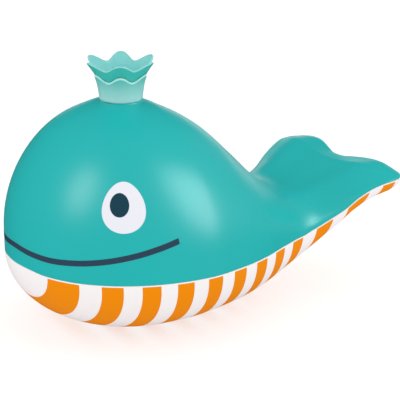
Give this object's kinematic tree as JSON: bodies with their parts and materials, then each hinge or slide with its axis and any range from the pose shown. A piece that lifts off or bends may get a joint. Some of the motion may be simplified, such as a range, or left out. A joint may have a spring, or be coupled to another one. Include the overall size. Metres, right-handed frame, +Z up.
{
  "type": "bubble-blowing bath toy whale",
  "caption": "Whale bath toy blown by mouth: a lift-off upper shell on a belly that holds bubble liquid, with an air valve, hose, diffuser, foam riser and scalloped spout.",
  "frame": {"origin": "centre of the bounding box's base, on the floor under the whale", "axes": "+X from the nose to the tail, +Y across the body, +Z up through the spout"},
  "size_m": [0.2146, 0.1328, 0.1388],
  "materials": {
    "body_teal": "satin moulded",
    "belly_white": "satin moulded with printed orange stripes",
    "spout_teal": "translucent moulded",
    "inner_plastic": "milky moulded",
    "silicone": "soft matte"
  },
  "bodies": {
    "belly": {"belly_shell": "belly_white", "seam_gasket": "silicone", "mouthpiece": "silicone", "valve_body": "inner_plastic", "valve_cap": "inner_plastic", "air_hose": "silicone", "diffuser": "inner_plastic"},
    "top": {"upper_shell": "body_teal", "riser_tube": "inner_plastic", "riser_bell": "inner_plastic"},
    "crown": {"crown_cup": "spout_teal", "crown_funnel": "spout_teal", "foam_screen": "inner_plastic", "crown_seal": "silicone"},
    "valve": {"valve_disc": "silicone"}
  },
  "joints": [
    {"name": "shell_lift", "type": "slide", "parent": "belly", "child": "top", "axis": [0, 0, 1], "range_m": [0, 0.075]},
    {"name": "crown_lift", "type": "slide", "parent": "top", "child": "crown", "axis": [0, 0, 1], "range_m": [0, 0.025]},
    {"name": "valve_open", "type": "slide", "parent": "belly", "child": "valve", "axis": [-0.9781, 0, -0.2079], "range_m": [0, 0.0011], "stiffness_N_per_m": 5, "springref_m": -0.0005}
  ]
}
